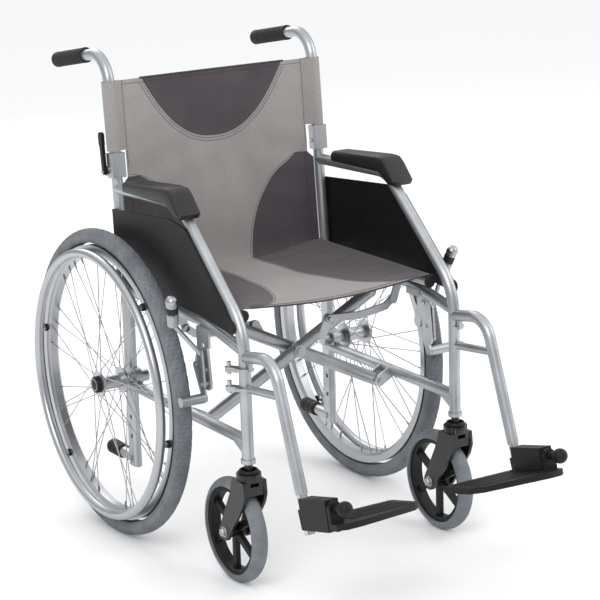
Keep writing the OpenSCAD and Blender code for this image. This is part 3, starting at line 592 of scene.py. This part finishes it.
def stitches(bm, path, lift, length=0.0042, gap=0.0022, thick=0.00055):
    """Lays short threads end to end along a path of points, standing on the cloth by lift."""
    reach = lengths_along(path)
    at = gap
    while at + length < reach[-1]:
        ends = []
        for d in (at, at + length):
            i = max(k for k in range(len(reach) - 1) if reach[k] <= d)
            t = (d - reach[i]) / (reach[i + 1] - reach[i])
            ends.append(path[i].lerp(path[i + 1], t) + lift)
        tube_along(bm, [ends[0], ends[0].lerp(ends[1], 0.5) + lift * 0.3, ends[1]], thick, sides=5)
        at += length + gap


print("sheet helpers ready")

# %% [markdown]
# ## The seat sling
# The seat is one cloth that wraps over both seat rails and hangs a little between them. It folds
# down the middle when the chair is closed, so each half is a flat sheet and a sleeve round its
# rail. Both ride on the brace that carries the rail.

# %% Seat sling: shape
RAIL_TUBE = 0.011
AROUND = 0.0126        # from the rail's middle to the inside of the cloth
SAG = 0.013            # how deep the cloth hangs at the middle
SEAM_X = 0.190         # where the flat sheet ends and the sleeve starts
PANEL_MID, PANEL_HALF, PANEL_START, PANEL_LONG, PANEL_ROUND = 0.210, 0.155, 0.060, 0.330, 2.4
rail_low, rail_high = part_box("seat_sling_left")
RAIL_X = rail_high.x - RAIL_TUBE
RAIL_Z = rail_high.z - (11 + 0.4 + 3.5) * MM
seat_front, seat_rear = rail_low.y, rail_high.y + 5 * MM


def seat_top(x, y):
    """Height of the seat's upper face: a shallow hollow, deeper behind, with small pulls and creases."""
    across = min(1, abs(x) / RAIL_X)
    along = (y - seat_front) / (seat_rear - seat_front)
    hang = SAG * (1 - across ** 2) ** 1.3 * (1 + 0.55 * along)
    pull = 0.0008 * math.sin(along * 62 + 3 * across) * across ** 3 * (1 - across) * 4
    crease = 0.0012 * math.sin(along * 17 + across * 4) * (1 - across ** 2) * math.sin(math.pi * along)
    return RAIL_Z + AROUND - hang + pull + crease


def panel_along(y):
    return max(0.0, axle.y - y - PANEL_START) / PANEL_LONG


def seat_panel(x, y):
    """Above zero in the dark side panels, which narrow to the front corners."""
    across = abs(abs(x) - PANEL_MID) / PANEL_HALF
    return 1 - across ** PANEL_ROUND - panel_along(y) ** PANEL_ROUND


def seat_half(side):
    k = SIDES[side]
    body = BRACE[side]
    way = Vector((0, seat_rear - seat_front, 0))
    steps = 38
    flat_line = [(k * SEAM_X * i / steps, seat_front, RAIL_Z + AROUND) for i in range(steps + 1)]
    sleeve_line = [(k * (SEAM_X + (RAIL_X - SEAM_X) * i / 4), seat_front, RAIL_Z + AROUND) for i in range(5)]
    for a in range(15, 211, 15):
        turn = math.radians(a)
        sleeve_line.append((k * (RAIL_X + AROUND * math.sin(turn)), seat_front,
                            RAIL_Z + AROUND * math.cos(turn)))

    def hang(v):
        if abs(v.co.x) <= RAIL_X and v.co.z > RAIL_Z + AROUND - 1e-6:
            v.co.z = seat_top(v.co.x, v.co.y)

    def panel_at(co):
        return edge_distance(seat_panel, co.x, co.y) if abs(co.x) < RAIL_X else EDGE_REACH

    def upside_down(bm):
        return sum(f.normal.z * f.calc_area() for f in bm.faces if f.calc_center_median().z > RAIL_Z) < 0

    wide = 0
    for name, line in (("seat_cloth", flat_line), ("seat_sleeve", sleeve_line)):
        bm, across = sheet_of(line, way, 78, hang, panel_at, upside_down)
        piece = keep_sheet(bm, f"{name}_{side}", body,
                           replaces=[f"seat_sling_{side}"] if name == "seat_cloth" else ())
        wide += across
        if name == "seat_cloth":
            fold_seat(piece)
    bm = bmesh.new()
    edge = [Vector((k * SEAM_X * i / 30, seat_front, seat_top(k * SEAM_X * i / 30, seat_front) + CLOTH_T / 2))
            for i in range(31)]
    tube_along(bm, edge, 0.0017, sides=10)
    for y in (0.009, 0.014):
        path = [Vector((k * (SEAM_X - 0.002) * i / 30, seat_front + y, 0)) for i in range(31)]
        stitches(bm, [Vector((p.x, p.y, seat_top(p.x, p.y) + CLOTH_T)) for p in path], Vector((0, 0, 0.0002)))
    border = []
    for i in range(61):
        y = seat_front + 0.018 + (way.y - 0.020) * i / 60
        along = panel_along(y)
        if along < 1:
            x = PANEL_MID - PANEL_HALF * (1 - along ** PANEL_ROUND) ** (1 / PANEL_ROUND) - 0.004
            if x < SEAM_X - 0.004:
                border.append(Vector((k * x, y, seat_top(x, y) + CLOTH_T)))
    stitches(bm, border, Vector((0, 0, 0.0002)))
    hem = keep_piece(bm, f"seat_hem_{side}", body, "seat_cloth", THREAD)
    fold_seat(hem)
    return wide


def fold_seat(piece):
    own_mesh(piece)


for side in SIDES:
    print("seat half", side, "cut", round(seat_half(side), 3), "by", round(seat_rear - seat_front, 3))

# %% [markdown]
# ## The back sling
# The back is one cloth sewn into a sleeve round each back tube, and it bows backwards a little. The
# chair's back folds in half at the hinge, so there is a lower and an upper sheet that meet on the
# hinge's own axis. The sleeves are separate pieces that ride with their tubes. A dark bowl is sewn
# in at the top, and a dark quarter of an oval fills each lower corner.

# %% Back sling: shape
TUBE = 0.011
SLEEVE = TUBE + 0.0022       # the sleeve's inside stands clear of the tube
back_low, back_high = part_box("back_sling_lower_left"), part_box("back_sling_upper_left")
BACK_TOP = (back_high[1].z - hinge.z) / math.cos(lean) - 0.001
BACK_BOTTOM = (back_low[0].z - hinge.z) / math.cos(lean) - 0.022
SLEEVE_FROM = 0.034          # the sleeve starts above the hinge's bracket
BACK_SEAM = 0.207            # where the flat sheet is sewn to the sleeve
BRACKET_LOW = -0.022         # the narrow part ends here, below the folding bracket
FLARE = 1.1                  # how fast the cloth widens below it
LOWER_HALF = frame_x - TUBE - 0.0015
TO_LEAN = Matrix.Translation((0, hinge.y, hinge.z)) @ Matrix.Rotation(-lean, 4, "X")


def back_bow(x, z):
    """How far the cloth bows back: most at mid height, with soft creases under the bowl."""
    across = min(1, abs(x) / frame_x)
    rise = (z - BACK_BOTTOM) / (BACK_TOP - BACK_BOTTOM)
    bow = 0.013 * (1 - across ** 2) * (0.5 + 0.5 * math.sin(math.pi * rise))
    hang = 0.0017 * math.sin(x * 95 + 5 * rise) * math.exp(-((rise - 0.50) / 0.13) ** 2) * (1 - across ** 2)
    pull = 0.0014 * math.sin(rise * 40 + 30 * abs(x)) * across ** 2 * (1 - across) * 3
    pull *= math.sin(math.pi * rise)
    ripple = 0.0010 * math.sin(x * 70 + rise * 9) * math.exp(-((rise - 0.10) / 0.12) ** 2) * (1 - across)
    return bow + hang + pull + ripple


BOWL_HALF, BOWL_DEEP, BOWL_ROUND = 0.160, 0.132, 2.3
CORNER_X, CORNER_Z, CORNER_WIDE, CORNER_TALL = 0.219, -0.2297, 0.158, 0.2106
PANELS_PART = -0.02          # the bowl counts above this height, and the corners below it


def back_panel_shape(x, z):
    """Above zero in the bowl at the top and in the two lower corners."""
    bowl = (z - BACK_TOP) / BOWL_DEEP + 1 - (abs(x) / BOWL_HALF) ** BOWL_ROUND
    corner = 1 - ((abs(x) - CORNER_X) / CORNER_WIDE) ** 2 - (max(0, z - CORNER_Z) / CORNER_TALL) ** 2
    return bowl if z > PANELS_PART else corner


def back_half(z):
    """Half the cloth's width: it is cut narrow beside the folding brackets."""
    if z > BRACKET_LOW:
        return BACK_SEAM
    return min(LOWER_HALF, BACK_SEAM + (BRACKET_LOW - z) * FLARE)


def lay_back(v):
    v.co.y += back_bow(v.co.x, v.co.z)
    v.co = TO_LEAN @ v.co


def faces_back(bm):
    return sum(f.normal.y * f.calc_area() for f in bm.faces) > 0


def back_panel_at(co):
    return edge_distance(back_panel_shape, co.x, co.z)


def fold_back(piece):
    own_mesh(piece)


print("back cloth runs", round(BACK_BOTTOM, 3), "to", round(BACK_TOP, 3), "m from the hinge")


# %% Back sling: the sheets between the tubes
for name, z0, z1, rows, body, replaced in (
        ("back_cloth_lower", BACK_BOTTOM, 0.0, 78, "frame_right",
         ["back_sling_lower_right", "back_sling_lower_left"]),
        ("back_cloth_upper", 0.0, BACK_TOP, 64, "back_upper_right",
         ["back_sling_upper_right", "back_sling_upper_left"])):
    half = LOWER_HALF if z0 < 0 else BACK_SEAM
    columns = 110
    line = [((-1 + 2 * i / columns) * half, 0, z0) for i in range(columns + 1)]

    def lay(v, half=half):
        v.co.x *= back_half(v.co.z) / half if half == LOWER_HALF else 1
        lay_back(v)

    bm, wide = sheet_of(line, Vector((0, 0, z1 - z0)), rows, lay, back_panel_at, faces_back)
    cloth = keep_sheet(bm, name, body,
                       replaces=replaced)
    fold_back(cloth)
    print(name, round(wide, 3), "by", round(z1 - z0, 3))

# %% Back sling: the sleeves
TANGENT = math.degrees(math.acos(SLEEVE / (frame_x - BACK_SEAM)))
for side, k in SIDES.items():
    line = [(k * BACK_SEAM, 0, SLEEVE_FROM)]
    steps = 20
    for i in range(steps + 1):
        turn = math.radians(TANGENT + (360 - 2 * TANGENT) * i / steps)
        line.append((k * (frame_x - SLEEVE * math.cos(turn)), -SLEEVE * math.sin(turn), SLEEVE_FROM))
    line.append((k * BACK_SEAM, 0.0006, SLEEVE_FROM))

    def lay(v):
        if abs(abs(v.co.x) - BACK_SEAM) < 1e-5:
            v.co.y += back_bow(v.co.x, v.co.z)
        v.co = TO_LEAN @ v.co

    def inside_out(bm, k=k):
        middle_x = k * frame_x
        return sum((f.calc_center_median().x - middle_x) * f.normal.x * f.calc_area() for f in bm.faces) < 0

    bm, wide = sheet_of(line, Vector((0, 0, BACK_TOP - SLEEVE_FROM)), 52, lay,
                        lambda co: -EDGE_REACH, inside_out)
    keep_sheet(bm, f"back_sleeve_{side}", f"back_upper_{side}")
    print("sleeve", side, round(wide, 3), "round")

# %% [markdown]
# ## Bindings and stitches
# A tape binds the top edge, and each sewn edge shows its thread. Each stitch is a short thread of
# its own laid on the cloth, so that it is in the mesh and not only in the finish.

# %% Back sling: binding tape and stitches
PROUD = Vector((0, -0.0002, 0))
SEAM_IN, BORDER_OUT, TAPE_R = 0.003, 0.004, 0.0021


def on_back(x, z, out=CLOTH_T):
    return TO_LEAN @ Vector((x, back_bow(x, z) - out, z))


def upper_seams(bm):
    for k in (-1, 1):
        stitches(bm, [on_back(k * (BACK_SEAM - SEAM_IN), SLEEVE_FROM + (BACK_TOP - SLEEVE_FROM) * i / 40)
                      for i in range(41)], PROUD)
        stitches(bm, [on_back(k * (BACK_SEAM - SEAM_IN), SLEEVE_FROM * i / 6) for i in range(7)], PROUD)
    for outset in (BORDER_OUT, 0.010):
        bowl = []
        for i in range(81):
            x = (-1 + 2 * i / 80) * (BOWL_HALF + outset)
            z = BACK_TOP - (BOWL_DEEP + outset) * (1 - (abs(x) / (BOWL_HALF + outset)) ** BOWL_ROUND)
            if z < BACK_TOP - 0.006:
                bowl.append(on_back(x, z))
        stitches(bm, bowl, PROUD)
    stitches(bm, [on_back((-1 + i / 30) * BACK_SEAM, BACK_TOP - 0.008) for i in range(61)], PROUD)


def lower_seams(bm):
    for k in (-1, 1):
        stitches(bm, [on_back(k * (BACK_SEAM - 0.006), BACK_BOTTOM + 0.004 - (BACK_BOTTOM + 0.026) * i / 40)
                      for i in range(41)], PROUD)
        corner = []
        for i in range(61):
            turn = math.radians(88 * i / 60)
            x = CORNER_X - (CORNER_WIDE + BORDER_OUT) * math.cos(turn)
            z = CORNER_Z + (CORNER_TALL + BORDER_OUT) * math.sin(turn)
            if x < BACK_SEAM - 0.008:
                corner.append(on_back(k * x, z))
        stitches(bm, corner, PROUD)


for name, body, seams, half in (("back_stitches_upper", "back_upper_right", upper_seams, BACK_SEAM),
                                ("back_stitches_lower", "frame_right", lower_seams, LOWER_HALF)):
    bm = bmesh.new()
    seams(bm)
    fold_back(keep_piece(bm, name, body, "back_cloth", THREAD))

bm = bmesh.new()
tube_along(bm, [on_back((-1 + i / 30) * (BOWL_HALF + BORDER_OUT), BACK_TOP, CLOTH_T / 2) for i in range(61)],
           TAPE_R, sides=10)
fold_back(keep_piece(bm, "back_top_binding", "back_upper_right", "back_cloth", THREAD))
print("stitched")

# %% [markdown]
# ## Arm pads
# Each pad is one moulding of self-skinning foam with a steel core: flat on top, rounded along its
# edges, and turned down at the front so that it ends in a soft nose. A side outline is extruded
# across the arm and bevelled, which is how a pad maker's wooden pattern would be cut.

# %% Arm pads
def arm_pad(side):
    low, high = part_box(f"arm_pad_{side}")
    width = high.x - low.x
    rear, front, top, bottom = high.y, low.y, high.z, low.z
    outline = [(rear, bottom + 0.018), (rear, top - 0.019), (rear - 0.006, top - 0.013), (rear - 0.164, top),
               (rear - 0.186, top - 0.001), (rear - 0.200, top - 0.011), (front, bottom + 0.010),
               (front + 0.006, bottom + 0.001), (front + 0.022, bottom), (front + 0.061, bottom + 0.021)]
    bm = bmesh.new()
    face = bm.faces.new([bm.verts.new((low.x, y, z)) for y, z in outline])
    made = bmesh.ops.extrude_face_region(bm, geom=[face])["geom"]
    bmesh.ops.translate(bm, verts=[g for g in made if isinstance(g, bmesh.types.BMVert)], vec=(width, 0, 0))
    bmesh.ops.recalc_face_normals(bm, faces=bm.faces)
    rims = [e for e in bm.edges if abs(e.verts[0].co.x - e.verts[1].co.x) < 1e-6]
    bmesh.ops.bevel(bm, geom=rims, offset=0.0085, segments=4, profile=0.5, affect="EDGES", material=-1)
    piece = keep_piece(bm, f"arm_pad_foam_{side}", f"frame_{side}", "arm_pad", FINISH["arm_pad"],
                       replaces=[f"arm_pad_{side}"])
    return piece


for side in SIDES:
    arm_pad(side)
print("arm pads moulded")

# %% [markdown]
# ## Push grips
# A grip is a rubber sleeve with rings round it, a collar at the mouth and a domed end. A profile of
# radius against length is spun once about the handle.

# %% Push grips
GRIP_DOWN = math.radians(10)


def push_grip(side):
    k = SIDES[side]
    low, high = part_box(f"push_grip_{side}")
    along = Vector((0, math.cos(GRIP_DOWN), -math.sin(GRIP_DOWN)))
    length = 0.131
    radius = (high.x - low.x) / 2
    end = Vector((k * frame_x, high.y - radius * math.sin(GRIP_DOWN), low.z + radius * math.cos(GRIP_DOWN)))
    start = end - along * length
    profile = [(TUBE + 0.0003, 0), (radius, 0), (radius, 0.004), (radius - 0.002, 0.006)]
    at = 0.010
    while at < length - 0.016:
        profile += [(radius - 0.0022, at), (radius - 0.0004, at + 0.0008), (radius - 0.0004, at + 0.0030),
                    (radius - 0.0022, at + 0.0038)]
        at += 0.0062
    profile += [(radius - 0.001, length - 0.010), (radius, length - 0.008), (radius, length - 0.004),
                (radius - 0.0025, length - 0.001), (radius - 0.006, length), (0, length)]
    bm = bmesh.new()
    turned(bm, profile, start, along, steps=40)
    turned(bm, [(TUBE + 0.0003, 0), (TUBE + 0.0003, length - 0.012)], start, along, steps=40)
    return keep_piece(bm, f"push_grip_rubber_{side}", f"back_upper_{side}", "grip_rubber",
                      FINISH["grip_rubber"], replaces=[f"push_grip_{side}"])


for side in SIDES:
    push_grip(side)
print("push grips turned")

# %% [markdown]
# ## Rear tyres and caster tyres
# A grey tyre with a shallow block tread, and a smooth grey tyre on each caster. The carcass is a
# section spun round the axle. Two faces of every three in the rear tyre's tread band are pushed out
# by a millimetre, which leaves staggered blocks with grooves between them.

# %% Rear tyres and caster tyres
LANE = 13              # degrees of the tyre's section in one lane of tread
TREAD_LANES = 4        # lanes of blocks on each side of the middle
BLOCK_HIGH = 0.0011
TYRE_BED_R = 0.0839    # the caster tyre's inner radius


def tyre(side, centre, outer, section_w, inner, name, body, node, steps, blocks):
    r = section_w / 2
    mid = outer - r
    profile = []
    for a in range(-10 * LANE, 10 * LANE + 1, LANE):
        turn = math.radians(a)
        profile.append((mid + (r - (0.0012 if blocks else 0)) * math.cos(turn), r * math.sin(turn)))
    profile = [(max(inner, radius), across) for radius, across in profile]
    bm = bmesh.new()
    turned(bm, closed_loop(profile), centre, (1, 0, 0), steps=steps)
    bmesh.ops.remove_doubles(bm, verts=bm.verts, dist=0.00001)
    bmesh.ops.recalc_face_normals(bm, faces=bm.faces)
    if blocks:
        chosen = []
        for face in bm.faces:
            c = face.calc_center_median() - centre
            angle = math.atan2(c.z, c.y) % (2 * math.pi)
            step = int(angle / (2 * math.pi) * steps)
            out = math.hypot(c.y, c.z)
            lane = round(abs(math.degrees(math.atan2(c.x, out - mid))) / LANE - 0.5)
            if lane <= TREAD_LANES and out > mid and (step + lane * (1 if c.x > 0 else 2)) % 3 != 0:
                chosen.append(face)
        bmesh.ops.inset_individual(bm, faces=chosen, thickness=0.0006, depth=BLOCK_HIGH)
    return keep_piece(bm, name, body, "grey_tyre", FINISH["grey_tyre"], replaces=[node])


for side, k in SIDES.items():
    tyre(side, Vector((k * wheel_x, axle.y, axle.z)), wheel_r, tyre_w, rim_r + 0.0001,
         f"tyre_{side}", f"rear_wheel_{side}", f"wheel_tyre_{side}", 216, True)
    hub_at = middle(f"caster_tyre_{side}")
    tyre(side, hub_at, span(f"caster_tyre_{side}").z / 2, span(f"caster_tyre_{side}").x, TYRE_BED_R,
         f"caster_tread_{side}", f"caster_wheel_{side}", f"caster_tyre_{side}", 96, False)
print("tyres made")

# %% [markdown]
# ## Nipples, spacers and hub caps
# Each spoke ends in a small nipple in the rim, the handrim stands on six black spacers, and a cap
# covers the axle's end. All are turned on a lathe in life, so each is a profile spun once.

# %% Small parts on the wheels
OUTER_SPOKES = 18
SPOKE_CROSSING = 34
RIM_HALF = 0.0132
FIRST_SPACER = 17


def rim_trim(side):
    k = SIDES[side]
    centre = Vector((k * wheel_x, axle.y, axle.z))
    bm = bmesh.new()
    for i in range(OUTER_SPOKES):
        for face, sign in ((0, -1), (1, 1)):
            crossing = SPOKE_CROSSING if i % 2 == 0 else -SPOKE_CROSSING
            a = math.radians((i + face / 2) * 360 / OUTER_SPOKES + crossing)
            out = Vector((0, math.sin(a), math.cos(a)))
            at = centre + out * (rim_r - 0.020 - 0.010) + Vector((k * sign * 0.005, 0, 0))
            turned(bm, [(0.0, 0), (0.0016, 0), (0.0020, 0.0105), (0, 0.0105)], at, out, steps=6)
    keep_piece(bm, f"spoke_nipples_{side}", f"rear_wheel_{side}", "spoke_steel", FINISH["spoke_steel"])
    bm = bmesh.new()
    for a in range(FIRST_SPACER, 360, 60):
        turn = math.radians(a)
        out = Vector((0, math.sin(turn), math.cos(turn)))
        start = centre + out * handrim_r + Vector((k * RIM_HALF, 0, 0))
        finish = start + Vector((k * (handrim_x - wheel_x - RIM_HALF - HANDRIM_TUBE), 0, 0))
        way = (finish - start).normalized()
        reach = (finish - start).length - 0.004
        turned(bm, [(0, 0), (0.0078, 0), (0.0078, 0.002), (0.0062, 0.004), (0.0060, reach - 0.003),
                    (0.0070, reach), (0, reach)], start, way, steps=20)
    keep_piece(bm, f"handrim_spacers_{side}", f"rear_wheel_{side}", "black_plastic", FINISH["black_plastic"])
    bm = bmesh.new()
    face_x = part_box(f"rear_axle_{side}")[1].x if k > 0 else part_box(f"rear_axle_{side}")[0].x
    at = Vector((face_x - k * 0.012, axle.y, axle.z))
    turned(bm, [(0, 0), (0.0165, 0), (0.0165, 0.009), (0.0150, 0.0115), (0.006, 0.0125), (0, 0.0125)],
           at, (k, 0, 0), steps=36)
    keep_piece(bm, f"hub_cap_{side}", f"rear_wheel_{side}", "black_plastic", FINISH["black_plastic"])


for side in SIDES:
    rim_trim(side)
print("wheel trim added")

# %% [markdown]
# ## Caps, rubbers, bolts
# Small turned parts: end caps on the seat rails, rubber feet on the tipping tubes, the bolt heads
# and washers on the caster forks, a seal on each fork's stem, and the sleeves on the brake levers.
# Each is a profile of radius against length, spun round its own axis.

# %% Turned small parts
def small_parts(side):
    k = SIDES[side]
    bm = bmesh.new()
    for y, way in ((seat_front - 0.001, -1), (seat_rear + 0.006, 1)):
        turned(bm, [(0, -0.012), (0.0094, -0.012), (0.0094, 0), (0.0122, 0), (0.0122, 0.002),
                    (0.0105, 0.004), (0, 0.004)],
               Vector((k * RAIL_X, y, RAIL_Z)), (0, way, 0), steps=32)
    keep_piece(bm, f"seat_rail_caps_{side}", BRACE[side], "black_plastic", FINISH["black_plastic"])
    bm = bmesh.new()
    tube_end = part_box(f"rear_post_{side}")[1].y
    at = Vector((k * frame_x, tube_end - 0.050, 0.133))
    turned(bm, [(TUBE + 0.0004, 0), (0.0145, 0), (0.0150, 0.003), (0.0150, 0.010), (0.0140, 0.012),
                (0.0140, 0.016), (0.0150, 0.018), (0.0150, 0.026), (0.0140, 0.028), (0.0140, 0.032),
                (0.0150, 0.034), (0.0150, 0.046), (0.012, 0.052), (0, 0.052)], at, (0, 1, 0), steps=32)
    keep_piece(bm, f"tipping_rubber_{side}", f"frame_{side}", "grip_rubber", FINISH["grip_rubber"])
    bm = bmesh.new()
    hub = middle(f"caster_tyre_{side}")
    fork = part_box(f"caster_fork_{side}")
    for way, x in ((1, fork[1].x), (-1, fork[0].x)):
        washer(bm, Vector((x - way * 0.0032, hub.y, hub.z)), (way, 0, 0), 0.0105, 0.0016)
        bolt(bm, Vector((x - way * 0.0016, hub.y, hub.z)), (way, 0, 0), 0.0085, 0.0055)
    keep_piece(bm, f"caster_bolts_{side}", f"caster_fork_{side}", "zinc_steel", FINISH["zinc_steel"])
    bm = bmesh.new()
    stem = Vector(JOINTS[f"caster_swivel_{side}"]["pos_m"])
    turned(bm, [(0.0145, 0), (0.0185, 0), (0.0185, 0.004), (0.0170, 0.006), (0.0145, 0.006), (0.0145, 0)],
           Vector((stem.x, stem.y, 0.2265)), (0, 0, 1), steps=36)
    keep_piece(bm, f"stem_seal_{side}", f"caster_fork_{side}", "black_plastic", FINISH["black_plastic"])


def brake_grip(side):
    """The rubber sleeve on the brake lever's upper end, with a domed tip."""
    k = SIDES[side]
    start = Vector((k * 0.302, axle.y - 0.298, 0.488))
    end = Vector((k * 0.313, axle.y - 0.316, 0.536))
    reach = (end - start).length
    bm = bmesh.new()
    turned(bm, [(0, 0), (0.0100, 0), (0.0108, 0.003), (0.0112, reach - 0.010), (0.0098, reach - 0.003),
                (0.0060, reach), (0, reach)], start, end - start, steps=28)
    keep_piece(bm, f"brake_grip_{side}", f"brake_lever_{side}", "grip_rubber", FINISH["grip_rubber"])


for side in SIDES:
    small_parts(side)
    brake_grip(side)
print("small parts turned")
